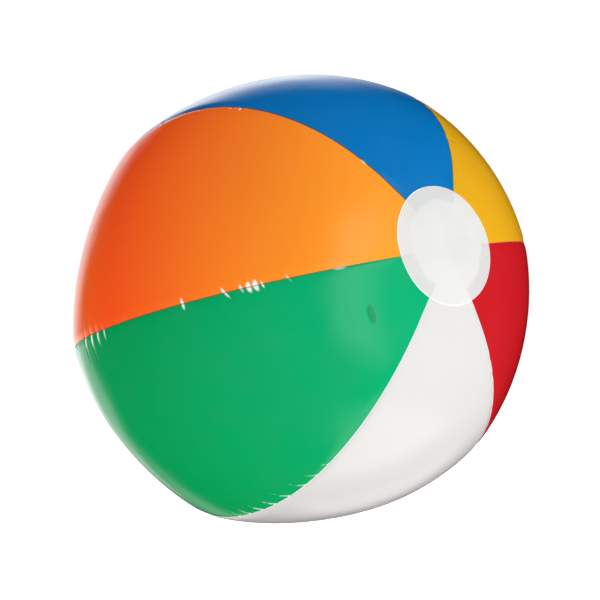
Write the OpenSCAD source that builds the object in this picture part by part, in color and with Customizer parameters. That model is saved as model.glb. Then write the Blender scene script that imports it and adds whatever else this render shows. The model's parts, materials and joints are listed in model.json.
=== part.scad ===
// Inflatable beach ball: six welded film gores, two end discs and a push-in valve.
// Millimetres, +Z up. The origin is on the ground under the middle of the ball.
// The front disc faces -Y and up; the rear disc, with the valve, faces +Y and down.
// Offsets called depth are measured into the ball from the outside of the gores.

/* [Ball] */
// Diameter across the middles of two opposite gores
flats_d = 272; // [220:1:340]
// Length from end disc to end disc
ball_len = 276; // [220:1:340]
// Shape of the shoulders: 2 is an ellipse, more is squarer
shoulder = 2.2; // [2:0.05:2.4]
// Height of each seam above the even skin, clockwise from the blue and yellow one
ridge = [3.7, 2.9, 1.6, 5.9, 2.7, 4]; // [0:0.1:8]
// Height of each gore's middle above the even skin, clockwise from the yellow one
fullness = [3.4, -1.1, 0, 0.9, -2.2, 0.1]; // [-4:0.1:4]
// How soon those heights grow between the discs and the equator: lower is sooner
height_onset = 0.8; // [0.6:0.05:1.5]
// Thickness of the gores' film
film_t = 0.25; // [0.15:0.05:0.5]

/* [Seams] */
// Width of the welded overlap along each seam
lap_w = 4; // [2:0.5:6]
// Width of the step in the lower film beside the overlap
step_w = 1.5; // [1:0.1:3]
// Space left for the weld between the two films
weld_gap = 0.02; // [0.01:0.01:0.05]
// Seams' wander from even sixths, in degrees, in the same order as the ridges
seam_wander = [4.5, 2.9, 0.7, -1.7, -3.6, 1.5]; // [-5:0.1:5]
// Seams' lean as they near the front disc, in degrees, in the same order
seam_lean = [-8.6, -3.4, -8, -4.8, 2.1, -4]; // [-12:0.1:6]
// Place that the seams run towards, sideways from the discs' middles
seam_pole = [-4.2, -0.8]; // [-5:0.1:5]

/* [End discs] */
// Diameter of the end discs
disc_d = 68; // [56:1:90]
// Thickness of the end discs
disc_t = 0.3; // [0.15:0.05:0.6]
// Width of the weld between a disc and the gores' ends
disc_lap = 8.5; // [5:0.5:12]

/* [Stance] */
// Tilt of the front disc above level, in degrees
tilt = 16.8; // [0:0.1:25]
// Turn of the gores about the ball's axis, in degrees
roll = 35.3; // [0:0.1:59]
// How far the ball's own weight flattens it on the ground
flat_depth = 2; // [1.5:0.1:4]

/* [Valve] */
// Diameter of the stem's bore, which the lips or a pump blow into
bore_d = 5.5; // [4.5:0.1:7]
// Wall of the stem
stem_wall = 1.45; // [1:0.05:2]
// Length of the stem
stem_len = 13; // [11:0.5:18]
// How far the stem's mouth stands proud of the disc when it is pushed in
mouth_h = 2; // [2:0.1:3]
// How far the rim stands out from the stem
rim_out = 1; // [0.5:0.1:1.5]
// Height of the rim
rim_h = 1.2; // [0.8:0.1:1.8]
// Travel of the stem when it is pulled out
stem_travel = 14; // [10:0.5:14]
// Diameter of the hole in the flange
flange_bore_d = 16; // [15:0.5:20]
// Width of the flange's ring
flange_w = 7; // [4:0.5:9]
// Thickness of the flange
flange_t = 0.9; // [0.6:0.1:1.5]
// Space between the flange's hole and the edge of the disc's hole
disc_hole_gap = 0.5; // [0:0.1:1]
// Thickness of the rolling skirt
skirt_t = 0.4; // [0.3:0.05:0.6]
// Height of the collar that holds the skirt on the stem
collar_h = 1.2; // [0.8:0.1:2]
// How far the collar stands out from the stem
collar_out = 0.5; // [0.3:0.1:0.8]
// Clearance of the plug in the bore, all round
plug_fit = 0.06; // [0.03:0.01:0.09]
// Length of the plug's round-nosed spigot
spigot_len = 4.5; // [3:0.1:5]
// Thickness of the plug's head
head_t = 1.4; // [1:0.1:2]
// Diameter of the plug's head
head_d = 10; // [8:0.1:10.4]
// Length of the plug's finger tab, from the head's edge
tab_len = 3.5; // [2:0.1:5]
// Width of the plug's finger tab
tab_w = 4.5; // [3:0.1:6]
// Thickness of the plug's finger tab
tab_t = 0.9; // [0.6:0.1:1]
// Width of the strap between the stem and the plug
strap_w = 3.4; // [2:0.1:4]
// Thickness of the strap
strap_t = 0.6; // [0.4:0.05:0.8]
// How far the strap's arch starts outside the rim
strap_out = 0.5; // [0.3:0.1:1]
// How far the axis that the plug swings about lies outside the rim
strap_pivot_out = 1; // [0.8:0.1:1.5]
// Thickness of the flap at the stem's inner end
flap_t = 0.5; // [0.3:0.05:0.8]
// Width of the flap's hinge tab
flap_tab_w = 2.4; // [1.5:0.1:3.5]
// How far the flap's hinge tab stands out from the stem
flap_tab_out = 0.6; // [0.4:0.1:1]

/* [Hidden] */

gores = 6;
gore_angle = 360 / gores;
flats_r = flats_d / 2;
half_len = ball_len / 2;
disc_r = disc_d / 2;
gore_end_r = disc_r - disc_lap;
// Small gap between pieces of two bodies that rest on each other
touch_gap = 0.05;
round_fn = 180;

// Valve sizes. Its heights are measured outwards from the rear disc's outer face.
stem_r = bore_d / 2 + stem_wall;
rim_r = stem_r + rim_out;
stem_low = mouth_h - stem_len;
flange_bore_r = flange_bore_d / 2;
skirt_z = -stem_travel / 2;
head_r = head_d / 2;
strap_pivot_r = rim_r + strap_pivot_out;
spigot_r = bore_d / 2 - plug_fit;
flap_r = stem_r - touch_gap;

// ---- Shape of the blown-up ball, in its own frame: z from disc to disc ----

// Height of the ball's skin over the plane through its middle, near an end
function skin_z(r) = half_len * pow(1 - pow(r / flats_r, shoulder), 1 / shoulder);

// Angle from the front end of the ball at which its skin has the radius r
function end_angle(r) = atan2(r, skin_z(r));

// Distance of a gore's middle from the centre, at the angle t from the front end
function reach(t) = pow(
    pow(sin(t) / flats_r, shoulder) + pow(abs(cos(t)) / half_len, shoulder), -1 / shoulder);

// Share of a height that is left at a skin radius r: none under the discs
function height_share(r) = pow(max(0, r - disc_r) / (flats_r - disc_r), height_onset);

// Azimuth of seam k at the angle t
function seam(k, t) =
    let (
        even = gore_angle * (0.5 - k),
        frontness = pow((1 + cos(t)) / 2, 2),
        off_pole = seam_pole.y * cos(even) - seam_pole.x * sin(even)
    ) even + seam_wander[k % gores] + seam_lean[k % gores] * frontness
        + off_pole / (reach(t) * sin(t)) * 180 / PI;

// Height above the even skin, in gore k beside seam s, at an angle off that seam
function height(k, s, off, gore_half) =
    let (full = fullness[k % gores])
        full + (ridge[s % gores] - full) * pow(1 - off / gore_half, 2);

// A point of the skin in the row frame before it is set on the ground
function skin(t, azimuth, height, depth) =
    let (
        r0 = reach(t) * sin(t),
        r = r0 + height * height_share(r0),
        p = [r * cos(azimuth + roll), r * sin(azimuth + roll), reach(t) * cos(t)],
        q = p * (1 - depth / norm(p))
    ) [q.x, q.y * sin(tilt) - q.z * cos(tilt), q.y * cos(tilt) + q.z * sin(tilt)];

// ---- Rows and columns of the gores' mesh ----

// Rows are closer together round the flat that the ball stands on
ground_t = 95 + tilt;
fine_reach = 13;
fine_rows = 10;
front_rows = 15;
rear_rows = 9;
disc_rows = [end_angle(gore_end_r), end_angle((gore_end_r + disc_r) / 2)];
function spread(a, b, n) = [for (i = [0:n - 1]) a + (b - a) * i / n];
rows = concat(
    disc_rows,
    spread(end_angle(disc_r), ground_t - fine_reach, front_rows),
    spread(ground_t - fine_reach, ground_t + fine_reach, fine_rows),
    spread(ground_t + fine_reach, 180 - end_angle(disc_r), rear_rows),
    [180 - end_angle(disc_r)],
    [for (i = [1, 0]) 180 - disc_rows[i]]
);
fill_cols = 10;
lower_depth = film_t + weld_gap;

// One row of a gore: [azimuth, height, depth of its outer face] for each column.
// The last two columns are the lower film of the overlap, under the next gore.
function gore_row(k, t) =
    let (
        r = reach(t) * sin(t),
        lap = lap_w / r * 180 / PI,
        step = step_w / r * 180 / PI,
        first = seam(k, t),
        last = seam(k + 1, t),
        gore_half = (first - last) / 2,
        next_half = (last - seam(k + 2, t)) / 2,
        from = first - lap,
        to = last + step
    ) concat(
        [[first, height(k, k, 0, gore_half), 0]],
        [for (j = [0:fill_cols])
            let (a = from + (to - from) * j / fill_cols, s = first - a < a - last ? k : k + 1)
            [a, height(k, s, min(first - a, a - last), gore_half), 0]],
        [for (off = [0, lap]) [last - off, height(k + 1, k + 1, off, next_half), lower_depth]]
    );

function gore_skin(k, layer) = [for (t = rows) for (c = gore_row(k, t))
    let (depth = c[2] + layer) concat(skin(t, c[0], c[1], depth), [depth])];

// The ground plane is as far below the centre as the lowest skin, less the flattening
lowest = min([for (k = [0:gores - 1]) for (p = gore_skin(k, 0)) p.z]);
lift = -lowest - flat_depth;

// Film that would be below the ground lies flat on it, the upper films on the lower
function landed(p) = [p.x, p.y, max(p.z + lift, p[3])];

// ---- Frames ----

module in_ball() {
    translate([0, 0, lift]) rotate([90 - tilt, 0, 0]) children();
}

module in_valve() {
    in_ball() rotate([180, 0, 0]) translate([0, 0, half_len + disc_t]) children();
}

// ---- Gores and end discs ----

module gore(k, shade) {
    cols = len(gore_row(k, 90));
    outer = [for (p = gore_skin(k, 0)) landed(p)];
    inner = [for (p = gore_skin(k, film_t)) landed(p)];
    count = len(outer);
    last_row = len(rows) - 1;
    last_col = cols - 1;
    function at(i, j) = i * cols + j;
    skin_faces = [for (i = [0:last_row - 1]) for (j = [0:last_col - 1])
        each [[at(i, j), at(i + 1, j), at(i + 1, j + 1)],
              [at(i, j), at(i + 1, j + 1), at(i, j + 1)]]];
    lining_faces = [for (f = skin_faces) [f[0] + count, f[2] + count, f[1] + count]];
    rim = concat(
        [for (j = [0:last_col]) at(0, j)],
        [for (i = [1:last_row]) at(i, last_col)],
        [for (j = [1:last_col]) at(last_row, last_col - j)],
        [for (i = [1:last_row - 1]) at(last_row - i, 0)]
    );
    edge_faces = [for (n = [0:len(rim) - 1])
        let (a = rim[n], b = rim[(n + 1) % len(rim)])
        each [[a, b, b + count], [a, b + count, a + count]]];
    color(shade)
        polyhedron(concat(outer, inner), concat(skin_faces, lining_faces, edge_faces));
}

// A ring that follows the skin of the ball's front end, from depth high to depth low
module end_ring(inside_r, outside_r, high, low) {
    steps = 12;
    radii = [for (i = [0:steps]) inside_r + (outside_r - inside_r) * i / steps];
    rotate_extrude($fn = round_fn)
        polygon(concat(
            [for (r = radii) [r, skin_z(r) - low]],
            [for (i = [steps:-1:0]) [radii[i], skin_z(radii[i]) - high]]
        ));
}

module front_disc() {
    color("white") in_ball() end_ring(0, disc_r, -disc_t, 0);
}

module rear_disc() {
    color("white") in_ball() rotate([180, 0, 0])
        end_ring(flange_bore_r + disc_hole_gap, disc_r, -disc_t, 0);
}

// ---- Valve ----

module valve_flange() {
    color("gainsboro") in_ball() rotate([180, 0, 0])
        end_ring(flange_bore_r, flange_bore_r + flange_w, weld_gap, weld_gap + flange_t);
}

// Thin cone that turns inside out as the stem is pulled
module valve_skirt() {
    top = -disc_t - weld_gap - flange_t / 2;
    neck_r = stem_r + collar_out + touch_gap;
    color("gainsboro") in_valve() rotate_extrude($fn = round_fn)
        polygon([
            [flange_bore_r, top + skirt_t / 2],
            [flange_bore_r, top - skirt_t / 2],
            [neck_r + skirt_t, skirt_z - collar_h / 2],
            [neck_r, skirt_z - collar_h / 2],
            [neck_r, skirt_z + collar_h / 2],
            [neck_r + skirt_t, skirt_z + collar_h / 2],
            [flange_bore_r - 3 * skirt_t, top + skirt_t / 2]
        ]);
}

module valve_stem() {
    color("gainsboro") in_valve() difference() {
        union() {
            translate([0, 0, stem_low]) cylinder(r = stem_r, h = stem_len, $fn = round_fn);
            translate([0, 0, mouth_h - rim_h]) cylinder(r = rim_r, h = rim_h, $fn = round_fn);
            translate([0, 0, skirt_z - collar_h / 2])
                cylinder(r = stem_r + collar_out, h = collar_h, $fn = round_fn);
        }
        translate([0, 0, stem_low - 1]) cylinder(d = bore_d, h = stem_len + 2, $fn = round_fn);
    }
}

// Small arch of the same moulding that ties the plug's head to the stem, round the rim
module valve_strap() {
    low = mouth_h - rim_h - strap_t / 2;
    high = mouth_h + touch_gap + head_t - strap_t / 2;
    arch_r = (high - low) / 2;
    arch_x = rim_r + strap_out;
    color("gainsboro") in_valve() difference() {
        translate([0, strap_w / 2, (high + low) / 2]) rotate([90, 0, 0]) union() {
            translate([arch_x, 0, 0]) rotate([0, 0, -90])
                rotate_extrude(angle = 180, $fn = round_fn)
                    translate([arch_r - strap_t / 2, 0]) square([strap_t, strap_w]);
            for (side = [-1, 1])
                translate([0, side * arch_r - strap_t / 2, 0])
                    cube([arch_x, strap_t, strap_w]);
        }
        translate([0, 0, stem_low]) cylinder(r = stem_r, h = stem_len, $fn = round_fn);
        translate([0, 0, mouth_h])
            cylinder(r = head_r + touch_gap, h = head_t + 1, $fn = round_fn);
    }
}

// The spigot's nose is an arc about the strap, so the plug swings out of the bore
module valve_plug() {
    nose_steps = 12;
    swing_r = strap_pivot_r + spigot_r;
    nose = [for (i = [0:nose_steps]) let (d = spigot_len * i / nose_steps)
        [sqrt(swing_r * swing_r - d * d) - strap_pivot_r, -d]];
    color("gainsboro") in_valve() translate([0, 0, mouth_h]) union() {
        rotate_extrude($fn = round_fn)
            polygon(concat([[0, -spigot_len], [0, touch_gap + head_t]],
                [[head_r, touch_gap + head_t], [head_r, touch_gap], [spigot_r, touch_gap]],
                nose));
        translate([0, 0, touch_gap + head_t - tab_t]) {
            translate([-head_r - tab_len + tab_w / 2, 0, 0])
                cylinder(d = tab_w, h = tab_t, $fn = round_fn);
            translate([-head_r - tab_len + tab_w / 2, -tab_w / 2, 0])
                cube([head_r + tab_len - tab_w / 2, tab_w, tab_t]);
        }
    }
}

// Lid on the stem's inner end that lets air in and not out
module valve_flap() {
    color("gainsboro") in_valve() translate([0, 0, stem_low - touch_gap - flap_t]) union() {
        cylinder(r = flap_r, h = flap_t, $fn = round_fn);
        translate([0, -flap_tab_w / 2, 0]) cube([stem_r + flap_tab_out, flap_tab_w, flap_t]);
    }
}

gore(0, "gold");  // gore_yellow
gore(1, "crimson");  // gore_red
gore(2, "white");  // gore_white
gore(3, "mediumseagreen");  // gore_green
gore(4, "darkorange");  // gore_orange
gore(5, "royalblue");  // gore_blue
front_disc();
rear_disc();
valve_flange();
valve_skirt();
valve_stem();
valve_strap();
valve_plug();
valve_flap();
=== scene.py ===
"""Looks of an inflatable beach ball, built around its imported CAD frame. Metres.

Three local frames are used. The row frame is the CAD's own. The ball's frame has its origin
in the middle of the ball and z towards the front disc. The valve's frame has its origin on
the rear disc's outer face and z out of the ball.
"""

import json
import math

import bmesh
import bpy
import numpy as np
from mathutils import Matrix, Vector

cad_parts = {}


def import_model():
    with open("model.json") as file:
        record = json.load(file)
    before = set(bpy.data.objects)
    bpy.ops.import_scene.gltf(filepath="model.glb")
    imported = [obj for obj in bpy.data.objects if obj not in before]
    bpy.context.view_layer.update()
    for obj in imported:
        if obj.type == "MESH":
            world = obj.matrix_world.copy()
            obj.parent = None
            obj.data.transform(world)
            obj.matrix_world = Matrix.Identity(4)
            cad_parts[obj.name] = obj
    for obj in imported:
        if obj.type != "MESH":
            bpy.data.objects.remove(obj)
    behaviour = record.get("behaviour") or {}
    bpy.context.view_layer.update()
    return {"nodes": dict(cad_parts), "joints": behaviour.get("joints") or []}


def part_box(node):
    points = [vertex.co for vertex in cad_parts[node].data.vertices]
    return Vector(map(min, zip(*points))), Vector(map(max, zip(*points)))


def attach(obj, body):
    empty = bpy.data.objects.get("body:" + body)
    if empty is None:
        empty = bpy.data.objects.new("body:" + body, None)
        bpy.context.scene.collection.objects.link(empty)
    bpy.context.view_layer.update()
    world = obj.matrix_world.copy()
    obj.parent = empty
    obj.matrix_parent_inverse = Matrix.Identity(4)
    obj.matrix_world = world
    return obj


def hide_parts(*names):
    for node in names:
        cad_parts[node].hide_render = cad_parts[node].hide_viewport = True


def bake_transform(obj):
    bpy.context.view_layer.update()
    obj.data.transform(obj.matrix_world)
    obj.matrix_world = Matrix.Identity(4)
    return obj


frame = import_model()

MM = 0.001
GORE_NAMES = ["yellow", "red", "white", "green", "orange", "blue"]

# ---- Sizes of the film and its welds ----
FILM_T = 0.25 * MM
LAP_W = 4 * MM
STEP_W = 1.5 * MM
WELD_GAP = 0.02 * MM
GORE_END_R = 25.5 * MM
DISC_T = 0.3 * MM

# ---- Shape of the blown-up ball ----
FLATS_R = 136 * MM
# Exponent of the profile: 2 is an ellipse, and more is squarer in the shoulders
SHOULDER = 2.2
# Six values each, in the order of the gores: how far the seam that a gore starts at stands
# proud, and how far the gore's middle stands over the even shape
RIDGE = np.array([3.7, 2.9, 1.6, 5.9, 2.7, 4]) * MM
FULLNESS = np.array([3.4, -1.1, 0, 0.9, -2.2, 0.1]) * MM
# Exponent of how soon those heights are reached, going out from a disc
HEIGHT_ONSET = 0.8
# Turn of the whole ball about its axis
ROLL = math.radians(35.3)
# The seams' shifts off an even spacing, all along them and near the front disc, and the
# place beside the axis that they run towards
SEAM_WANDER = np.radians([4.5, 2.9, 0.7, -1.7, -3.6, 1.5])
SEAM_LEAN = np.radians([-8.6, -3.4, -8, -4.8, 2.1, -4])
SEAM_POLE = np.array([-4.2, -0.8]) * MM
SIXTH = math.pi / 3

# ---- Sizes of the valve ----
BORE_R = 2.75 * MM
STEM_R = 4.2 * MM
STEM_LEN = 13 * MM
MOUTH_H = 2 * MM
RIM_R = 5.2 * MM
RIM_H = 1.2 * MM
FLANGE_BORE_R = 8 * MM
FLANGE_R = 15 * MM
FLANGE_T = 0.9 * MM
SKIRT_Z = -7 * MM
SKIRT_T = 0.4 * MM
COLLAR_R = 4.7 * MM
COLLAR_H = 1.2 * MM
HEAD_R = 5 * MM
HEAD_T = 1.4 * MM
SPIGOT_LEN = 4.5 * MM
PLUG_FIT = 0.06 * MM
TAB_START = 3 * MM
TAB_LEN = 3.5 * MM
TAB_W = 4.5 * MM
TAB_T = 0.9 * MM
STRAP_W = 3.4 * MM
STRAP_T = 0.6 * MM
STRAP_OUT = 0.5 * MM
STRAP_PIVOT_OUT = 1 * MM
FLAP_T = 0.5 * MM
FLAP_TAB_START = 2 * MM
FLAP_TAB_W = 2.4 * MM
FLAP_TAB_OUT = 0.6 * MM
TOUCH_GAP = 0.05 * MM
DISC_HOLE_GAP = 0.5 * MM
# How far a tab's faces lie inside the faces of the piece that it is joined to
TAB_INSET = 0.02 * MM


# ---- Frames, worked out from the CAD ----


def node_points(name):
    """The CAD node's corners, in the row frame."""
    mesh = frame["nodes"][name].data
    points = np.empty(len(mesh.vertices) * 3)
    mesh.vertices.foreach_get("co", points)
    return points.reshape(-1, 3)


joints = {j["name"]: j for j in frame["joints"]}
rear_axis = np.array(joints["stem_slide"]["axis"], float)
rear_axis /= np.linalg.norm(rear_axis)
front_axis = -rear_axis
disc_boxes = [np.array(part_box(n), float) for n in ("front_disc", "rear_disc")]
centre = np.mean([b.mean(axis=0) for b in disc_boxes], axis=0)
disc_points = node_points("front_disc") - centre
along_axis = disc_points @ front_axis
HALF_LEN = along_axis.max() - DISC_T
DISC_R = np.linalg.norm(disc_points - np.outer(along_axis, front_axis), axis=1).max()
ball_x = np.array([1.0, 0, 0])
BALL_FRAME = np.stack([ball_x, np.cross(front_axis, ball_x), front_axis])
VALVE_FRAME = np.stack([ball_x, np.cross(rear_axis, ball_x), rear_axis])
valve_origin = centre + rear_axis * (HALF_LEN + DISC_T)


def ball_to_row(p):
    return centre + np.asarray(p) @ BALL_FRAME


def valve_to_row(p):
    return valve_origin + np.asarray(p) @ VALVE_FRAME


# ---- Mesh helpers ----


SHARP_ANGLE = math.radians(35)


def new_object(name, points, faces, body, replaces):
    """A smooth-shaded mesh object that rides on a body and stands for its CAD node."""
    mesh = bpy.data.meshes.new(name)
    mesh.from_pydata([tuple(p) for p in points], [], faces)
    mesh.validate()
    mesh.shade_smooth()
    mesh.set_sharp_from_angle(angle=SHARP_ANGLE)
    obj = bpy.data.objects.new(name, mesh)
    bpy.context.collection.objects.link(obj)
    if body:
        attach(obj, body)
    if replaces:
        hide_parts(replaces)
    return obj


def float_attribute(obj, name, values):
    attribute = obj.data.attributes.new(name, "FLOAT", "POINT")
    attribute.data.foreach_set("value", np.asarray(values, np.float32).ravel())


def colour_attribute(obj, name, values):
    attribute = obj.data.attributes.new(name, "FLOAT_COLOR", "POINT")
    rgba = np.concatenate([values, np.ones((len(values), 1))], axis=1)
    attribute.data.foreach_set("color", rgba.astype(np.float32).ravel())


def grid_faces(rows, cols, wrap=False):
    """Quads of a grid of points, seen from outside when rows run down and columns run right."""
    last = cols if wrap else cols - 1
    return [
        (
            i * cols + j,
            (i + 1) * cols + j,
            (i + 1) * cols + (j + 1) % cols,
            i * cols + (j + 1) % cols,
        )
        for i in range(rows - 1)
        for j in range(last)
    ]


def closed_sheet(outer, inner):
    """Faces and points of a film: two grids of points and the walls round their edge."""
    rows, cols = outer.shape[:2]
    count = rows * cols
    faces = grid_faces(rows, cols)
    faces += [tuple(reversed([v + count for v in f])) for f in grid_faces(rows, cols)]
    rim = list(range(cols))
    rim += [i * cols + cols - 1 for i in range(1, rows)]
    rim += [(rows - 1) * cols + j for j in range(cols - 2, -1, -1)]
    rim += [i * cols for i in range(rows - 2, 0, -1)]
    for a, b in zip(rim, rim[1:] + rim[:1]):
        faces.append((a, b, b + count, a + count))
    return np.concatenate([outer.reshape(-1, 3), inner.reshape(-1, 3)]), faces


def filleted(points, radius, steps=5):
    """A closed outline with its corners rounded, where their sides leave room."""
    rounded = []
    for i, p in enumerate(np.array(points, float)):
        before, after = np.array(points[i - 1], float), np.array(points[(i + 1) % len(points)])
        a, b = before - p, after - p
        la, lb = np.linalg.norm(a), np.linalg.norm(b)
        if p[0] < 1e-9 or min(la, lb) < 1e-9:
            rounded.append(p)
            continue
        cut = min(radius, la * 0.45, lb * 0.45)
        start, end = p + a / la * cut, p + b / lb * cut
        for k in range(steps + 1):
            u = k / steps
            rounded.append((1 - u) ** 2 * start + 2 * u * (1 - u) * p + u**2 * end)
    return rounded


def closing_faces(rows, cols):
    """Quads from the last row of a wrapped grid back to its first."""
    last = (rows - 1) * cols
    return [(last + j, j, (j + 1) % cols, last + (j + 1) % cols) for j in range(cols)]


def lathed(outline, segments=96):
    """Points and faces of a closed outline of (radius, height) turned about the z axis."""
    angles = np.arange(segments) * 2 * math.pi / segments
    outline = np.array(outline)
    points = np.stack(
        [
            np.outer(outline[:, 0], np.cos(angles)),
            np.outer(outline[:, 0], np.sin(angles)),
            np.repeat(outline[:, 1:2], segments, axis=1),
        ],
        axis=-1,
    )
    rows = len(outline)
    faces = grid_faces(rows, segments, wrap=True)
    faces += closing_faces(rows, segments)
    return points.reshape(-1, 3), faces


def cleaned(obj):
    """Joins doubled points, drops empty faces and turns every face outwards."""
    work = bmesh.new()
    work.from_mesh(obj.data)
    bmesh.ops.remove_doubles(work, verts=work.verts, dist=1e-7)
    bmesh.ops.dissolve_degenerate(work, edges=work.edges, dist=1e-7)
    bmesh.ops.recalc_face_normals(work, faces=work.faces)
    work.to_mesh(obj.data)
    work.free()
    obj.data.shade_smooth()
    obj.data.set_sharp_from_angle(angle=SHARP_ANGLE)


# ---- Skin of the ball ----


def skin_z(r):
    """Height of the skin over the ball's middle plane, near an end."""
    return HALF_LEN * (1 - (r / FLATS_R) ** SHOULDER) ** (1 / SHOULDER)


def end_angle(r):
    return np.arctan2(r, skin_z(r))


def reach(t):
    """Distance of a gore's middle from the centre, at the angle t from the front end."""
    flat = (np.sin(t) / FLATS_R) ** SHOULDER
    return (flat + np.abs(np.cos(t) / HALF_LEN) ** SHOULDER) ** (-1 / SHOULDER)


def seam_azimuth(k, t):
    even = SIXTH * (0.5 - k)
    frontness = ((1 + np.cos(t)) / 2) ** 2
    off_pole = SEAM_POLE[1] * math.cos(even) - SEAM_POLE[0] * math.sin(even)
    wander = SEAM_WANDER[k % 6] + SEAM_LEAN[k % 6] * frontness
    return even + wander + off_pole / (reach(t) * np.sin(t))


def height_share(r):
    return (np.clip(r - DISC_R, 0, None) / (FLATS_R - DISC_R)) ** HEIGHT_ONSET


# How a seam's corner is rounded, and the valley of the weld itself
CORNER_ROUNDING = 0.05
NOTCH_DEPTH = 0.45 * MM
NOTCH_W = 2.6 * MM


def seam_share(x, half):
    """Share of a seam's height at a distance x from it, in a gore of that half width."""
    s = x / half
    soft = np.sqrt(s**2 + CORNER_ROUNDING**2) - CORNER_ROUNDING
    return np.clip(1 - soft, 0, None) ** 2


# Puckers: short creases across a seam, where the film has more edge than the weld has.
# Each is (degrees from the front end; depth, width and length in mm; strength of the painted glint,
# a white streak beside its furrow, in the gore that starts at the seam, and in the one that ends
# there; lean).
SET_PUCKERS = {
    3: [(56.8, 0.6, 1.3, 9, 0.3, 0, 0.9), (61.1, 0.7, 1.4, 10, 0.35, 0, 0.9),
        (65.6, 0.7, 1.4, 11, 0.4, 0, 0.8), (71.5, 0.8, 1.5, 12, 0.45, 0, 0.8),
        (77.3, 0.8, 1.5, 13, 0.5, 0, 0.7), (82.8, 0.8, 1.5, 13, 0.5, 0, 0.6),
        (88.5, 0.8, 1.5, 12, 0.4, 0, 0.5), (93.1, 0.8, 1.5, 12, 0.3, 0, 0.4)],
    4: [(27, 0.1, 10, 1.4, 0.25, 0.5, 0),
        (39.2, 0.4, 1.6, 3.4, 0.6, 0.3, 0.5), (44.9, 0.6, 1.5, 3.0, 0.6, 0.9, 0.2),
        (46.1, 0.8, 3.4, 4.4, 1.0, 0.9, 0.1), (47.7, 0.8, 3.0, 4.2, 1.0, 1.0, 0.1),
        (49.5, 0.7, 1.8, 3.4, 0.9, 0.5, 0.3), (53.3, 0.9, 1.7, 4.8, 1.0, 0.8, 0.6),
        (63.9, 0.9, 1.9, 4.6, 1.0, 1.0, 0.1), (82.2, 0.6, 1.8, 8, 0.05, 0, -0.2),
        (92.9, 0.6, 1.6, 9, 0.2, 0.6, 0.1), (96.5, 0.8, 1.7, 10, 0.25, 0.8, 0.1),
        (100.2, 0.9, 1.8, 11, 0.3, 0.9, 0.0), (104.6, 0.8, 1.8, 11, 0.2, 0.8, -0.1)],
    5: [(25.7, 0.1, 5, 1.5, 0.2, 0.8, 0),
        (58.9, 0.7, 1.6, 4.5, 0.1, 0.8, 0.2), (61.7, 0.6, 1.6, 4, 0, 0.5, 0.2),
        (71.6, 0.4, 1.6, 4, 0, 0.3, 0), (86.3, 0.7, 1.7, 6, 0.2, 0.6, 0)],
}
PUCKER_SEED = 11
FIRST_SEEDED, LAST_SEEDED = 28, 160
SEEDED_PAST_THE_SET = 112


def seam_puckers(k):
    """The puckers of seam k: the ones set above, and small seeded ones elsewhere."""
    rng = np.random.default_rng(PUCKER_SEED + k % 6)
    puckers = list(SET_PUCKERS.get(k % 6, []))
    first, count = (SEEDED_PAST_THE_SET, 12) if puckers else (FIRST_SEEDED, 24)
    for place in np.linspace(first, LAST_SEEDED, count):
        size = rng.uniform(0.1, 0.6) ** 1.3
        puckers.append((place + rng.uniform(-2.4, 2.4), size, rng.uniform(2.0, 2.8),
                        rng.uniform(5, 9), 0.2 * size, 0.2 * size, rng.uniform(-0.4, 0.4)))
    return puckers


def pucker_relief(k, t, x, starts):
    """Outward shift of the film at the distance x from seam k, and the painted glints on its
    puckers.

    The gore starts at the seam, or ends there and is the one underneath.
    """
    relief, white = np.zeros_like(x), np.zeros_like(x)
    for place, depth, width, length, glint_on, glint_under, lean in seam_puckers(k):
        glint_strength = glint_on if starts else glint_under
        reach_in = length * MM
        along = (t - math.radians(place)) * FLATS_R - (lean if starts else -lean) * x
        # in pucker widths, which narrow to half at the pucker's end
        across = along / (width * MM * (1 - 0.5 * np.clip(x / reach_in, 0, 1)))
        # a furrow between two low, wide shoulders
        furrow = -np.exp(-np.abs(across) ** 1.6) + 0.45 * np.exp(-((across / 2.4) ** 2))
        share = 0.35 + 0.65 * glint_strength / max(glint_on, glint_under)
        relief += share * depth * MM * furrow * np.exp(-((x / reach_in) ** 1.4) * 1.6)
        # a painted glint: the white line runs along one side of the furrow
        needle = np.clip(1.25 - np.abs(across - 0.4) * 2.1, 0, 1)
        white = np.maximum(white, glint_strength * needle * np.clip(1.5 - 1.7 * x / reach_in, 0, 1))
    return relief, white


def film_waves(p):
    """Long, shallow waves of the stretched film. They run on across the seams."""
    q = p / MM
    waves = np.sin(q[..., 0] / 17 + 1.1 * np.sin(q[..., 2] / 23))
    waves += np.sin(q[..., 1] / 19 + 1.3 * np.sin(q[..., 0] / 29) + 1.7)
    waves += np.sin(q[..., 2] / 15 + 0.9 * np.sin(q[..., 1] / 21) + 0.6)
    return 0.035 * MM * waves


# How far out from a disc the film's relief comes in fully
RELIEF_ONSET = 8 * MM
ROW_GAP = 1.7 * MM
ROWS_PER_PUCKER_WIDTH = 3.6
# The gore's columns from a seam to its middle, as places that are scaled to its width
COLUMN_PLACES = np.array([
    0, 0.35, 0.7, 1.2, 2, 3, 4.2, 5.6, 7.2, 9, 11, 13.5, 16.5, 20, 25, 31, 38, 46, 54, 62, 70])


def gore_rows(k):
    """Angles of gore k's rows, closer together at the puckers of its two seams."""
    ends = end_angle(GORE_END_R)
    fine = np.linspace(ends, math.pi - ends, 6000)
    density = np.full_like(fine, 1 / ROW_GAP)
    for seam in (k, k + 1):
        for place, _, width, *_ in seam_puckers(seam):
            off = np.abs(fine - math.radians(place)) * FLATS_R
            dense = ROWS_PER_PUCKER_WIDTH / (width * MM) / (1 + (off / (2 * width * MM)) ** 6)
            density = np.maximum(density, dense)
    passed = np.concatenate([[0], np.cumsum((density[1:] + density[:-1]) / 2)])
    count = int(passed[-1] * (fine[1] - fine[0]) * FLATS_R)
    return np.interp(np.linspace(0, passed[-1], count), passed, fine)


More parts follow.
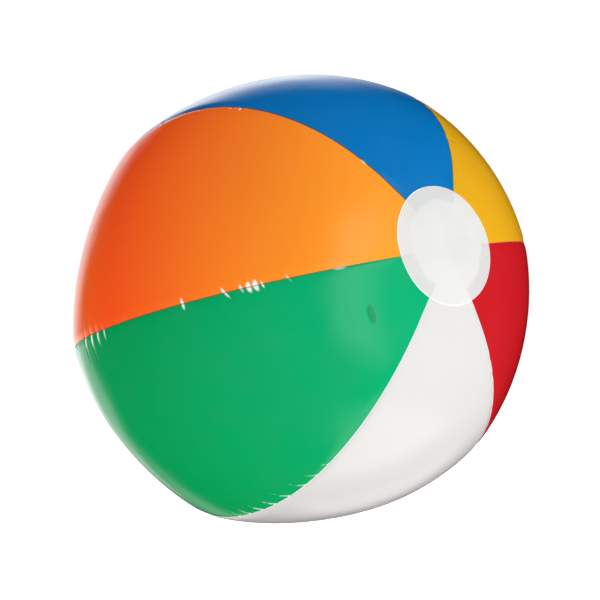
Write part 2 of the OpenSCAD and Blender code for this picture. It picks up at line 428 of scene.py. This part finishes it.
def gore_surface(k, t, share):
    """Skin points of gore k, the relief of its film, and the painted glints on its puckers.

    Rows are at the angles t, and columns at shares 0 to 1 of the way across.
    """
    first, last = seam_azimuth(k, t), seam_azimuth(k + 1, t)
    azimuth = first[:, None] + (last - first)[:, None] * share[None, :]
    r0 = (reach(t) * np.sin(t))[:, None]
    z = np.repeat((reach(t) * np.cos(t))[:, None], len(share), axis=1)
    width = (first - last)[:, None] * r0
    from_first, to_last = width * share[None, :], width * (1 - share[None, :])
    near = np.minimum(from_first, to_last)
    full, seam = FULLNESS[k % 6], np.where(share < 0.5, RIDGE[k % 6], RIDGE[(k + 1) % 6])
    r = r0 + height_share(r0) * (full + (seam - full)[None, :] * seam_share(near, width / 2))
    p = np.stack([r * np.cos(azimuth + ROLL), r * np.sin(azimuth + ROLL), z], axis=-1)
    angle = np.repeat(t[:, None], len(share), axis=1)
    free = np.clip((r0 - DISC_R) / RELIEF_ONSET, 0, 1)
    first_relief, first_glint = pucker_relief(k, angle, from_first, True)
    last_relief, last_glint = pucker_relief(k + 1, angle, to_last, False)
    relief = first_relief + last_relief + film_waves(p)
    relief = relief - NOTCH_DEPTH * np.exp(-((near / NOTCH_W) ** 2))
    return p, relief * free, np.maximum(first_glint, last_glint) * free


def set_down(p, level=0):
    """Film that would be under the ground lies flat on it."""
    ground = p.copy()
    ground[..., 2] = np.maximum(ground[..., 2], level)
    return ground


def moved_out(p, distance):
    return p * (1 + distance / np.linalg.norm(p, axis=-1))[..., None]


def gore(k):
    """One film, with the strip that runs under the next gore along its last seam."""
    name = GORE_NAMES[k]
    t = gore_rows(k)
    half = COLUMN_PLACES / (2 * COLUMN_PLACES[-1])
    share = np.concatenate([half, 1 - half[-2::-1]])
    p, relief, white = gore_surface(k, t, share)
    # the film steps down beside its last seam, and then runs on under the next gore
    under = FILM_T + WELD_GAP
    to_last = np.linalg.norm(p - p[:, -1:], axis=-1)
    outer = moved_out(p, relief - under * np.clip(1 - to_last / STEP_W, 0, 1) ** 2)
    lap_share = np.array([0, 0.5, 1]) * LAP_W / (SIXTH * FLATS_R)
    lap, lap_relief, lap_glint = gore_surface((k + 1) % 6, t, lap_share)
    outer = np.concatenate([outer, moved_out(lap, lap_relief - under)[:, 1:]], axis=1)
    inner = moved_out(outer, np.full(outer.shape[:2], -FILM_T))
    points, faces = closed_sheet(set_down(ball_to_row(outer)), set_down(ball_to_row(inner), FILM_T))
    obj = new_object("film_" + name, points, faces, "ball", "gore_" + name)
    # the cut edge is a thin line along the first seam, over the gore underneath
    edge = np.zeros(outer.shape[:2])
    edge[:, :3] = (1, 0.7, 0)
    float_attribute(obj, "edge", np.concatenate([edge, edge]))
    # painted glints: white streaks on the puckers' furrows, in the film and in its lap
    glints = np.concatenate([white, lap_glint[:, 1:]], axis=1)
    float_attribute(obj, "pucker_glint", np.concatenate([glints, glints]))
    # how near each row is to an end, which sets the films' painted shade
    ends = np.repeat(np.abs(np.cos(t))[:, None], outer.shape[1], axis=1)
    float_attribute(obj, "end_share", np.concatenate([ends, ends]))
    return obj


# ---- Materials ----


def material(name):
    mat = bpy.data.materials.new(name)
    mat.use_nodes = True
    nodes, links = mat.node_tree.nodes, mat.node_tree.links
    return mat, nodes, links, nodes["Principled BSDF"]


def node(nodes, kind, **values):
    made = nodes.new(kind)
    for key, value in values.items():
        if key in made.inputs:
            made.inputs[key].default_value = value
        else:
            setattr(made, key, value)
    return made


def noise(nodes, links, scale, detail=3.0):
    place = node(nodes, "ShaderNodeTexCoord")
    made = node(nodes, "ShaderNodeTexNoise", Scale=scale, Detail=detail, Roughness=0.55)
    links.new(place.outputs["Object"], made.inputs["Vector"])
    return made.outputs["Fac"]


def mapped(nodes, links, value, low, high, to_low=0.0, to_high=1.0):
    made = nodes.new("ShaderNodeMapRange")
    made.interpolation_type = "SMOOTHSTEP"
    for socket, number in zip(range(1, 5), (low, high, to_low, to_high)):
        made.inputs[socket].default_value = number
    links.new(value, made.inputs[0])
    return made.outputs[0]


def mixed(nodes, links, share, a, b):
    """A colour mix by a share's socket; a and b are colours or sockets."""
    made = nodes.new("ShaderNodeMix")
    made.data_type = "RGBA"
    links.new(share, made.inputs["Factor"])
    for socket, value in ((made.inputs[6], a), (made.inputs[7], b)):
        if isinstance(value, tuple):
            socket.default_value = (*value, 1)
        else:
            links.new(value, socket)
    return made.outputs[2]


def attribute(nodes, name, colour=False):
    made = node(nodes, "ShaderNodeAttribute", attribute_name=name)
    return made.outputs["Color" if colour else "Fac"]


def bumped(nodes, links, shader, layers):
    """Adds bumps: layers are (value socket, distance in metres, strength)."""
    normal = None
    for value, distance, strength in layers:
        made = node(nodes, "ShaderNodeBump", Strength=strength, Distance=distance)
        links.new(value, made.inputs["Height"])
        if normal:
            links.new(normal, made.inputs["Normal"])
        normal = made.outputs["Normal"]
    links.new(normal, shader.inputs["Normal"])


# Small dents in the green film, with painted shade in their hollows: ends (across, up and out, on
# the ball's own axes), width and depth, all in mm
DENTS = [
    ((-61, 9, 126.5), (-65, -2, 125), 3.0, 1.2),
    ((-69, 19, 122), (-75, 1, 120), 1.3, 0.2),
]


def dent_hollow(nodes, links, start, end, width, depth):
    """A spindle-shaped hollow between two points of the skin: its socket, and its depth.

    The socket is 0 in the middle of the hollow and 1 outside it.
    """
    turn = Matrix.Rotation(ROLL, 3, "Z")
    ends = [Vector(ball_to_row(np.array([turn @ (Vector(e) * MM)]))[0]) for e in (start, end)]
    along = ends[1] - ends[0]
    outward = ((ends[0] + ends[1]) / 2 - Vector(centre)).normalized()
    x = along.normalized()
    y = outward.cross(x).normalized()
    own_axes = Matrix((x, y, x.cross(y))).transposed()
    place = nodes.new("ShaderNodeTexCoord")
    mapping = nodes.new("ShaderNodeMapping")
    mapping.vector_type = "TEXTURE"
    mapping.inputs["Location"].default_value = (ends[0] + ends[1]) / 2
    mapping.inputs["Rotation"].default_value = own_axes.to_euler()
    mapping.inputs["Scale"].default_value = (along.length * 0.6, width * MM, 6 * MM)
    gradient = nodes.new("ShaderNodeTexGradient")
    gradient.gradient_type = "SPHERICAL"
    links.new(place.outputs["Object"], mapping.inputs["Vector"])
    links.new(mapping.outputs["Vector"], gradient.inputs["Vector"])
    hollow = mapped(nodes, links, gradient.outputs["Fac"], 0.0, 0.7, 1.0, 0.0)
    return hollow, depth * MM


# Index of refraction of soft PVC
PVC_IOR = 1.53
FILM_ROUGHNESS = 0.12


def film_material(name, shaded_ink, light, cut_edge, dents=()):
    """Glossy coloured film with painted shade, deeper between the discs and lighter towards them;
    with its cut edge, painted glints on its puckers' creases and painted shade in its dents.
    """
    mat, nodes, links, shader = material(name)
    # painted shade: the ink is the darker shaded_ink between the discs and turns to the lighter ink
    # near them, as the light falls
    ends = node(nodes, "ShaderNodeMath", operation="POWER")
    links.new(attribute(nodes, "end_share"), ends.inputs[0])
    ends.inputs[1].default_value = 1.5
    ink = mixed(nodes, links, ends.outputs[0], shaded_ink, light)
    cloud = mapped(nodes, links, noise(nodes, links, 9), 0.3, 0.7, 0.0, 0.12)
    ink = mixed(nodes, links, cloud, ink, tuple(c * 0.75 for c in shaded_ink))
    # painted glints: the ink turns near white along the puckers' furrows
    pucker_glint = mapped(nodes, links, attribute(nodes, "pucker_glint"), 0.05, 0.75)
    ink = mixed(nodes, links, pucker_glint, ink, (0.93, 0.93, 0.91))
    edge = mapped(nodes, links, attribute(nodes, "edge"), 0.25, 0.9)
    ink = mixed(nodes, links, edge, ink, cut_edge)
    hollows = [dent_hollow(nodes, links, *dent) for dent in dents]
    for hollow, depth in hollows:
        # painted shade: the ink darkens in each dent's hollow, more for a deeper dent
        shade = mapped(nodes, links, hollow, 1.0, 0.4, 0.0, 0.6 * depth / MM)
        ink = mixed(nodes, links, shade, ink, tuple(c * 0.8 for c in shaded_ink))
    links.new(ink, shader.inputs["Base Color"])
    uneven = noise(nodes, links, 55, 4.0)
    shine = mapped(nodes, links, uneven, 0.3, 0.75, FILM_ROUGHNESS, FILM_ROUGHNESS + 0.07)
    links.new(shine, shader.inputs["Roughness"])
    shader.inputs["IOR"].default_value = PVC_IOR
    bumped(
        nodes,
        links,
        shader,
        [
            (noise(nodes, links, 22, 2.0), 0.9 * MM, 0.5),
            (noise(nodes, links, 700, 2.0), 0.02 * MM, 0.25),
            *((hollow, depth, 0.12) for hollow, depth in hollows),
        ],
    )
    return mat


def disc_material():
    """White film; the gores' ends show through it faintly, and a painted highlight makes its cut
    edge bright.
    """
    mat, nodes, links, shader = material("disc_film")
    cloud = mapped(nodes, links, noise(nodes, links, 30), 0.35, 0.7)
    white = mixed(nodes, links, cloud, (0.70, 0.695, 0.69), (0.66, 0.655, 0.65))
    under = attribute(nodes, "under", colour=True)
    multiply = nodes.new("ShaderNodeMix")
    multiply.data_type = "RGBA"
    multiply.blend_type = "MULTIPLY"
    multiply.inputs["Factor"].default_value = 1.0
    links.new(white, multiply.inputs[6])
    links.new(under, multiply.inputs[7])
    # painted highlight: the ink turns near white along the cut edge
    edge = mapped(nodes, links, attribute(nodes, "edge"), 0.2, 0.9)
    ink = mixed(nodes, links, edge, multiply.outputs[2], (0.98, 0.98, 0.97))
    links.new(ink, shader.inputs["Base Color"])
    shine = mapped(nodes, links, noise(nodes, links, 25, 1.0), 0.3, 0.75, 0.27, 0.31)
    links.new(shine, shader.inputs["Roughness"])
    shader.inputs["IOR"].default_value = PVC_IOR
    bumped(
        nodes,
        links,
        shader,
        [
            (noise(nodes, links, 45, 1.0), 0.12 * MM, 0.3),
            (noise(nodes, links, 900, 2.0), 0.01 * MM, 0.2),
        ],
    )
    return mat


def valve_material():
    """Milky clear moulded PVC with the mould's fine grain."""
    mat, nodes, links, shader = material("clear_valve")
    cloud = mapped(nodes, links, noise(nodes, links, 260), 0.35, 0.7)
    milk = mixed(nodes, links, cloud, (0.80, 0.82, 0.83), (0.70, 0.73, 0.75))
    links.new(milk, shader.inputs["Base Color"])
    shine = mapped(nodes, links, noise(nodes, links, 900, 3.0), 0.3, 0.75, 0.22, 0.36)
    links.new(shine, shader.inputs["Roughness"])
    shader.inputs["IOR"].default_value = PVC_IOR
    shader.inputs["Transmission Weight"].default_value = 0.25
    shader.inputs["Subsurface Weight"].default_value = 0.25
    shader.inputs["Subsurface Radius"].default_value = (0.8, 0.8, 0.8)
    shader.inputs["Subsurface Scale"].default_value = 1.5 * MM
    bumped(nodes, links, shader, [(noise(nodes, links, 1400, 2.0), 0.03 * MM, 0.4)])
    return mat


# Each film's darker ink where painted shade falls between the discs, its lighter ink near the discs,
# and its cut edge's colour
FILMS = {
    "yellow": film_material(
        "yellow_film", (0.66, 0.32, 0.004), (0.74, 0.38, 0.009), (0.42, 0.27, 0.02)),
    "red": film_material(
        "red_film", (0.47, 0.005, 0.009), (0.54, 0.009, 0.015), (0.62, 0.06, 0.05)),
    "white": film_material(
        "white_film", (0.575, 0.548, 0.54), (0.68, 0.67, 0.655), (0.95, 0.95, 0.95)),
    "green": film_material(
        "green_film", (0.0, 0.31, 0.085), (0.0, 0.41, 0.165), (0.75, 0.93, 0.82), DENTS),
    "orange": film_material(
        "orange_film", (0.98, 0.092, 0.010), (0.92, 0.355, 0.020), (0.30, 0.08, 0.02)),
    "blue": film_material(
        "blue_film", (0.0, 0.135, 0.43), (0.0, 0.17, 0.48), (0.02, 0.09, 0.22)),
}
DISC_MATERIAL = disc_material()
VALVE_MATERIAL = valve_material()

# How much of each gore's colour the white disc lets through, as a tint on white
UNDER_TINTS = {
    "yellow": (0.985, 0.975, 0.955), "red": (0.90, 0.885, 0.885), "white": (1.0, 1.0, 1.0),
    "green": (0.90, 0.925, 0.91), "orange": (0.985, 0.965, 0.945), "blue": (0.88, 0.895, 0.905),
}


# ---- End discs ----

# Width of the painted highlight along a disc's cut edge, and how far inside the rim it starts
RIM_HIGHLIGHT_W = 0.4 * MM
RIM_HIGHLIGHT_IN = 0.55 * MM


def disc_under(p):
    """Tint of the disc from what lies under it: the gores' ends, and their seams' double film."""
    radius = np.hypot(p[:, 0], p[:, 1])
    azimuth = np.arctan2(p[:, 1], p[:, 0]) - ROLL
    t = end_angle(np.maximum(radius, 0.8 * GORE_END_R))
    t = np.where(p[:, 2] > 0, t, math.pi - t)
    tint = np.ones((len(p), 3))
    line = np.zeros(len(p))
    for k, name in enumerate(GORE_NAMES):
        first, last = seam_azimuth(k, t), seam_azimuth(k + 1, t)
        inside = (first - azimuth) % (2 * math.pi) < (first - last)
        tint[inside] = UNDER_TINTS[name]
        off = (azimuth - first + math.pi) % (2 * math.pi) - math.pi
        line = np.maximum(line, np.exp(-((off * radius / (0.7 * MM)) ** 2)))
    waver = 0.5 * MM * np.sin(azimuth * 5 + 0.7) + 0.35 * MM * np.sin(azimuth * 11)
    covered = 1 / (1 + np.exp(-(radius - GORE_END_R + waver) / (0.35 * MM)))
    tint = 1 - (1 - tint) * covered[:, None]
    return tint * (1 - 0.05 * (line * covered)[:, None])


def end_disc(name, node_name, inside_r, front):
    """The white disc, welded over the gores' ends. Its rim is soft and a little uneven."""
    rings, around = 46, 220
    share = np.linspace(0, 1, rings)
    share = 1 - (1 - share) ** 1.35
    angle = np.arange(around) * 2 * math.pi / around
    rim_wave = 0.12 * MM * np.sin(angle * 3 + 1) + 0.08 * MM * np.sin(angle * 7)
    radius = inside_r + (DISC_R + rim_wave[None, :] - inside_r) * share[:, None]
    z = skin_z(np.minimum(radius, DISC_R))
    # the gores' ends lift the disc by their own thickness, and the weld draws its rim down
    lift = -0.1 * MM + 0.12 * MM / (1 + np.exp(-(radius - GORE_END_R) / (0.5 * MM)))
    # the front disc's middle is a little hollow
    if inside_r == 0:
        lift = lift - 0.6 * MM * np.exp(-((radius / (14 * MM)) ** 2))
    ripples = 0.05 * MM * np.sin(angle * 24 + 2 * np.sin(angle * 3))[None, :]
    lift = lift + ripples * np.clip((radius - 0.8 * DISC_R) / (0.2 * DISC_R), 0, 1)
    near_rim = np.clip((radius - DISC_R + DISC_T) / DISC_T, 0, 1)
    rounding = 0.7 * DISC_T * (1 - np.sqrt(1 - near_rim**2))
    x, y = radius * np.cos(angle), radius * np.sin(angle)
    top = np.stack([x, y, z + lift + DISC_T - rounding], axis=-1)
    bottom = np.stack([x, y, z + lift - 0.05 * MM], axis=-1)
    rows = np.concatenate([top, bottom[::-1]])
    points = rows.reshape(-1, 3)
    if not front:
        points = points * [1, 1, -1]
    faces = grid_faces(len(rows), around, wrap=True)
    if inside_r > 0:
        faces += closing_faces(len(rows), around)
    tint = disc_under(points)
    from_axis = np.hypot(points[:, 0], points[:, 1])
    # where the painted highlight along the cut edge lies
    edge = np.clip((from_axis - DISC_R + RIM_HIGHLIGHT_IN) / RIM_HIGHLIGHT_W, 0, 1)
    obj = new_object(name, ball_to_row(points), faces, "ball", node_name)
    colour_attribute(obj, "under", tint)
    float_attribute(obj, "edge", edge)
    cleaned(obj)
    obj.data.materials.append(DISC_MATERIAL)


# ---- Valve ----


def valve_piece(name, node_name, body, points, faces):
    """A moulded piece, from points in the valve's frame."""
    obj = new_object(name, valve_to_row(points), faces, body, node_name)
    cleaned(obj)
    obj.data.materials.append(VALVE_MATERIAL)
    return obj


def union(obj, other):
    """Joins another solid into obj, and removes it."""
    joiner = obj.modifiers.new("join", "BOOLEAN")
    joiner.operation, joiner.solver, joiner.object = "UNION", "EXACT", other
    evaluated = obj.evaluated_get(bpy.context.evaluated_depsgraph_get())
    made = bpy.data.meshes.new_from_object(evaluated)
    obj.modifiers.remove(joiner)
    obj.data = made
    bpy.data.objects.remove(other)
    cleaned(obj)


def stadium_slab(x0, x1, width, z0, z1, rounding=0.25 * MM):
    """Points and faces of a flat tab from x0 to the round end at x1, with rounded edges."""
    half = width / 2
    turn = 1 if x1 > x0 else -1
    arc = [
        (x1 - turn * half + turn * half * math.cos(a), half * math.sin(a))
        for a in np.linspace(-math.pi / 2, math.pi / 2, 28)
    ]
    outline = np.array([(x0, -half)] + arc + [(x0, half)])
    middle = outline.mean(axis=0)
    rings = []
    for u in np.linspace(0, math.pi / 2, 5):
        inset = rounding * (1 - math.sin(u))
        rings.append((inset, z0 + rounding * (1 - math.cos(u))))
    profile = rings + [(i, z0 + z1 - z) for i, z in reversed(rings)]
    points = []
    for inset, z in profile:
        toward = middle - outline
        length = np.linalg.norm(toward, axis=1, keepdims=True)
        ring = outline + toward / length * inset
        points.append(np.column_stack([ring, np.full(len(ring), z)]))
    count = len(outline)
    faces = grid_faces(len(profile), count, wrap=True)
    faces += [tuple(range(count)), tuple(range((len(profile) - 1) * count, len(profile) * count))]
    return np.concatenate(points), faces


def flange():
    """The flat ring under the rear disc, which follows the skin."""
    radii = np.linspace(FLANGE_BORE_R, FLANGE_R, 12)
    drop = skin_z(radii) - HALF_LEN - DISC_T
    outline = [(r, z) for r, z in zip(radii, drop)]
    outline += [(r, z - FLANGE_T) for r, z in zip(radii[::-1], drop[::-1])]
    solid = lathed(filleted(outline, 0.25 * MM, 4))
    valve_piece("valve_flange_ring", "valve_flange", "ball", *solid)


def skirt():
    """Thin rolled cone between the flange's hole and the stem's collar."""
    top = -DISC_T - FLANGE_T / 2
    neck = COLLAR_R + TOUCH_GAP
    u = np.linspace(0, 1, 26)
    sag = 0.5 * MM * np.sin(math.pi * u)
    r = FLANGE_BORE_R + (neck + SKIRT_T / 2 - FLANGE_BORE_R) * (u**1.2) + sag
    r = np.minimum(r, FLANGE_BORE_R - WELD_GAP)
    z = top + (SKIRT_Z - top) * u
    outer = [(a, b + SKIRT_T / 2) for a, b in zip(r, z)]
    lower = [(a - SKIRT_T * 0.8, b - SKIRT_T * 0.2) for a, b in zip(r, z)]
    lower = [(max(a, neck), b) for a, b in lower]
    obj = valve_piece("valve_rolling_skirt", "valve_skirt", None, *lathed(outer + lower[::-1], 72))
    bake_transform(obj)


def stem():
    """The tube with its rim at the mouth and its collar in the skirt's neck."""
    low = MOUTH_H - STEM_LEN
    outline = [
        (BORE_R, low), (STEM_R, low),
        (STEM_R, SKIRT_Z - COLLAR_H / 2), (COLLAR_R, SKIRT_Z - COLLAR_H / 2),
        (COLLAR_R, SKIRT_Z + COLLAR_H / 2), (STEM_R, SKIRT_Z + COLLAR_H / 2),
        (STEM_R, MOUTH_H - RIM_H), (RIM_R, MOUTH_H - RIM_H),
        (RIM_R, MOUTH_H), (BORE_R, MOUTH_H),
    ]
    valve_piece("valve_stem_tube", "valve_stem", "stem", *lathed(filleted(outline, 0.35 * MM)))


def plug():
    """The stopper: its spigot's nose is an arc about the hinge, so that it swings out."""
    pivot_r = RIM_R + STRAP_PIVOT_OUT
    swing_r = pivot_r + BORE_R - PLUG_FIT
    depths = np.linspace(0, SPIGOT_LEN, 14)
    nose = [(math.sqrt(swing_r**2 - d**2) - pivot_r, MOUTH_H - d) for d in depths]
    top = MOUTH_H + TOUCH_GAP + HEAD_T
    head = filleted(
        [(HEAD_R, top), (HEAD_R, MOUTH_H + TOUCH_GAP), (nose[0][0], MOUTH_H + TOUCH_GAP)],
        0.3 * MM)
    # a shallow dimple in the head
    dimple = [(0, top - 0.45 * MM), (1.6 * MM, top - 0.4 * MM), (2.4 * MM, top)]
    outline = dimple + [tuple(p) for p in head[:-1]] + nose[1:] + [(0, MOUTH_H - SPIGOT_LEN)]
    body = valve_piece("valve_plug_stopper", "valve_plug", "plug", *lathed(outline))
    tab = valve_piece("tab", None, None, *stadium_slab(
        -TAB_START, -HEAD_R - TAB_LEN, TAB_W, top - TAB_T, top - TAB_INSET))
    union(body, tab)


def strap():
    """A soft band from the stem's side, round the rim, to the plug's head."""
    low = MOUTH_H - RIM_H - STRAP_T / 2
    high = MOUTH_H + TOUCH_GAP + HEAD_T - STRAP_T / 2
    arch_r, arch_x = (high - low) / 2, RIM_R + STRAP_OUT
    mid = (high + low) / 2
    root = 0.1 * MM
    path = [(x, low) for x in np.linspace(STEM_R - root, arch_x, 6)[:-1]]
    path += [(arch_x + arch_r * math.cos(a), mid + arch_r * math.sin(a))
             for a in np.linspace(-math.pi / 2, math.pi / 2, 22)]
    path += [(x, high) for x in np.linspace(arch_x, HEAD_R - root, 4)[1:]]
    path = np.array(path)
    along = np.gradient(path, axis=0)
    along /= np.linalg.norm(along, axis=1, keepdims=True)
    side = np.stack([-along[:, 1], along[:, 0]], axis=1)
    rounding = 0.15 * MM
    section = np.array([
        ((STRAP_W / 2 - rounding) * sx + rounding * math.cos(a),
         (STRAP_T / 2 - rounding) * sz + rounding * math.sin(a))
        for sx, sz, a0 in ((1, -1, -90), (1, 1, 0), (-1, 1, 90), (-1, -1, 180))
        for a in np.radians(np.linspace(a0, a0 + 90, 4))])
    neck = 1 - 0.25 * np.sin(math.pi * np.linspace(0, 1, len(path)))
    rows = np.array([
        [(p[0] + s[0] * v, u * n, p[1] + s[1] * v) for u, v in section]
        for p, s, n in zip(path, side, neck)])
    count = len(section)
    faces = grid_faces(len(path), count, wrap=True)
    faces += [tuple(range(count)), tuple(range((len(path) - 1) * count, len(path) * count))]
    obj = valve_piece("valve_strap_band", "valve_strap", None, rows.reshape(-1, 3), faces)
    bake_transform(obj)


def flap():
    """A round lid under the stem's inner end, with the tab that it bends at."""
    low = MOUTH_H - STEM_LEN - TOUCH_GAP
    bottom, lid_r = low - FLAP_T, STEM_R - TOUCH_GAP
    outline = [(0, low), (lid_r, low), (lid_r, bottom), (0, bottom)]
    lid = valve_piece("valve_flap_lid", "valve_flap", "flap", *lathed(filleted(outline, 0.15 * MM)))
    tab = valve_piece("tab", None, None, *stadium_slab(
        FLAP_TAB_START, STEM_R + FLAP_TAB_OUT, FLAP_TAB_W,
        bottom + TAB_INSET, low - TAB_INSET, 0.1 * MM))
    union(lid, tab)


# ---- Studio ----

# Degrees; azimuth 0 is -Y and 90 is +X
CAMERA_AZIMUTH = -38
CAMERA_ELEVATION = 5
CAMERA_DISTANCE = 0.887
CAMERA_LENS = 85.3
# The soft light on dull surfaces, from the camera's left and from its right
SOFT_LIGHT = (0.71, 0.95)
# The key light: degrees to the right of the camera and up, distance, width and brightness
KEY_AZIMUTH = 66
KEY_ELEVATION = 22
KEY_DISTANCE = 1.5
KEY_W = 1.6
KEY_RADIANCE = 1.08
FLOOR_R = 5
FLOOR_GLOW = 1.2


def direction(azimuth, elevation):
    """Unit vector from the ball towards a place, given in degrees."""
    a, e = math.radians(azimuth), math.radians(elevation)
    return Vector((math.sin(a) * math.cos(e), -math.cos(a) * math.cos(e), math.sin(e)))


def camera_back():
    """Unit vector from the ball towards the camera."""
    return direction(CAMERA_AZIMUTH, CAMERA_ELEVATION)


def camera():
    """The photograph's view."""
    data = bpy.data.cameras.new("camera")
    data.lens, data.sensor_width = CAMERA_LENS, 36
    data.clip_start, data.clip_end = 0.01, 50
    obj = bpy.data.objects.new("camera", data)
    bpy.context.collection.objects.link(obj)
    back = camera_back()
    obj.location = Vector(centre) + back * CAMERA_DISTANCE
    obj.rotation_euler = (-back).to_track_quat("-Z", "Y").to_euler()
    bpy.context.scene.camera = obj


def key_light():
    """A soft square panel that faces the ball, set by its brightness as seen from there."""
    data = bpy.data.lights.new("key", "AREA")
    data.shape, data.size = "SQUARE", KEY_W
    data.energy = KEY_RADIANCE * math.pi * KEY_W**2
    obj = bpy.data.objects.new("key", data)
    bpy.context.collection.objects.link(obj)
    toward = direction(CAMERA_AZIMUTH + KEY_AZIMUTH, KEY_ELEVATION)
    obj.location = Vector(centre) + toward * KEY_DISTANCE
    obj.rotation_euler = toward.to_track_quat("Z", "Y").to_euler()
    obj.visible_glossy = False


def floor():
    """A pale floor that glows a little and fades into the white round it."""
    bpy.ops.mesh.primitive_circle_add(vertices=96, radius=FLOOR_R, fill_type="NGON")
    obj = bpy.context.object
    obj.name = "studio_floor"
    mat, nodes, links, shader = material("studio_floor")
    cloud = mapped(nodes, links, noise(nodes, links, 1.5), 0.3, 0.7)
    tone = mixed(nodes, links, cloud, (0.36, 0.36, 0.36), (0.34, 0.34, 0.34))
    links.new(tone, shader.inputs["Base Color"])
    shader.inputs["Roughness"].default_value = 0.9
    shader.inputs["Specular IOR Level"].default_value = 0.0
    shader.inputs["Emission Color"].default_value = (1, 1, 1, 1)
    shader.inputs["Emission Strength"].default_value = FLOOR_GLOW
    place = nodes.new("ShaderNodeTexCoord")
    length = node(nodes, "ShaderNodeVectorMath", operation="LENGTH")
    links.new(place.outputs["Object"], length.inputs[0])
    solid = mapped(nodes, links, length.outputs["Value"], 0.3 * FLOOR_R, 0.12 * FLOOR_R)
    links.new(solid, shader.inputs["Alpha"])
    obj.data.materials.append(mat)
    obj.visible_glossy = False


# The studio as the film mirrors it, fixed in the row frame along the first camera's right,
# up and back directions.
# Each card is (right from, to, up from, to, back from, to, softness, brightness).
CARDS = {
    "behind": (-0.75, 0.05, -0.20, 0.62, -1.05, -0.82, 0.09, 1.0),
    "low": (-0.80, -0.22, -0.40, -0.08, -0.95, -0.66, 0.06, 0.75),
    "lower": (-0.70, -0.10, -0.66, -0.44, -0.93, -0.74, 0.05, 0.4),
    "ground": (0.05, 0.80, -0.95, -0.50, -1.05, -0.62, 0.08, 0.5),
    "top": (-0.26, 0.14, 0.30, 0.85, -1.05, -0.70, 0.08, 0.5),
    "window": (0.33, 0.66, -0.32, 0.64, 0.30, 1.05, 0.13, 1.0),
    "table": (0.15, 0.80, -1.05, -0.62, -0.3, 0.62, 0.10, 0.8),
}


def world():
    """White to look at, soft light on dull surfaces, and a dark room with cards to mirror."""
    scene_world = bpy.data.worlds.new("studio")
    bpy.context.scene.world = scene_world
    scene_world.use_nodes = True
    nodes, links = scene_world.node_tree.nodes, scene_world.node_tree.links
    nodes.clear()
    place = nodes.new("ShaderNodeTexCoord")
    back = camera_back()
    turn = math.radians(CAMERA_AZIMUTH)
    right = Vector((math.cos(turn), math.sin(turn), 0))
    axes = []
    for axis in (right, back.cross(right), back):
        dot = nodes.new("ShaderNodeVectorMath")
        dot.operation = "DOT_PRODUCT"
        dot.inputs[1].default_value = axis
        links.new(place.outputs["Generated"], dot.inputs[0])
        axes.append(dot.outputs["Value"])

    def combined(operation, a, b):
        made = nodes.new("ShaderNodeMath")
        made.operation = operation
        for socket, value in zip(made.inputs, (a, b)):
            if isinstance(value, (int, float)):
                socket.default_value = value
            else:
                links.new(value, socket)
        return made.outputs[0]

    mirrored = 0.0
    for card in CARDS.values():
        soft, brightness = card[6], card[7]
        share = brightness
        for axis, low, high in zip(axes, card[0:6:2], card[1:6:2]):
            share = combined("MULTIPLY", share, mapped(nodes, links, axis, low - soft, low + soft))
            share = combined("MULTIPLY", share, mapped(nodes, links, axis, high + soft, high - soft))
        mirrored = combined("ADD", mirrored, share)
    soft_light = mapped(nodes, links, axes[0], -1.0, 1.0, *SOFT_LIGHT)
    sources = []
    for strength in (soft_light, mirrored):
        made = node(nodes, "ShaderNodeBackground", Color=(1, 1, 1, 1))
        links.new(strength, made.inputs["Strength"])
        sources.append(made.outputs[0])
    sources.append(node(nodes, "ShaderNodeBackground", Color=(1, 1, 1, 1)).outputs[0])
    path = nodes.new("ShaderNodeLightPath")
    chosen = sources[0]
    for ray, source in (("Is Glossy Ray", sources[1]), ("Is Camera Ray", sources[2])):
        choose = nodes.new("ShaderNodeMixShader")
        links.new(path.outputs[ray], choose.inputs[0])
        links.new(chosen, choose.inputs[1])
        links.new(source, choose.inputs[2])
        chosen = choose.outputs[0]
    out = nodes.new("ShaderNodeOutputWorld")
    links.new(chosen, out.inputs["Surface"])


# ---- Build ----

camera()
for k, gore_name in enumerate(GORE_NAMES):
    gore(k).data.materials.append(FILMS[gore_name])
end_disc("front_disc_film", "front_disc", 0, True)
end_disc("rear_disc_film", "rear_disc", FLANGE_BORE_R + DISC_HOLE_GAP, False)
flange()
skirt()
stem()
plug()
strap()
flap()

floor()
world()
key_light()
bpy.context.scene.view_settings.view_transform = "Standard"
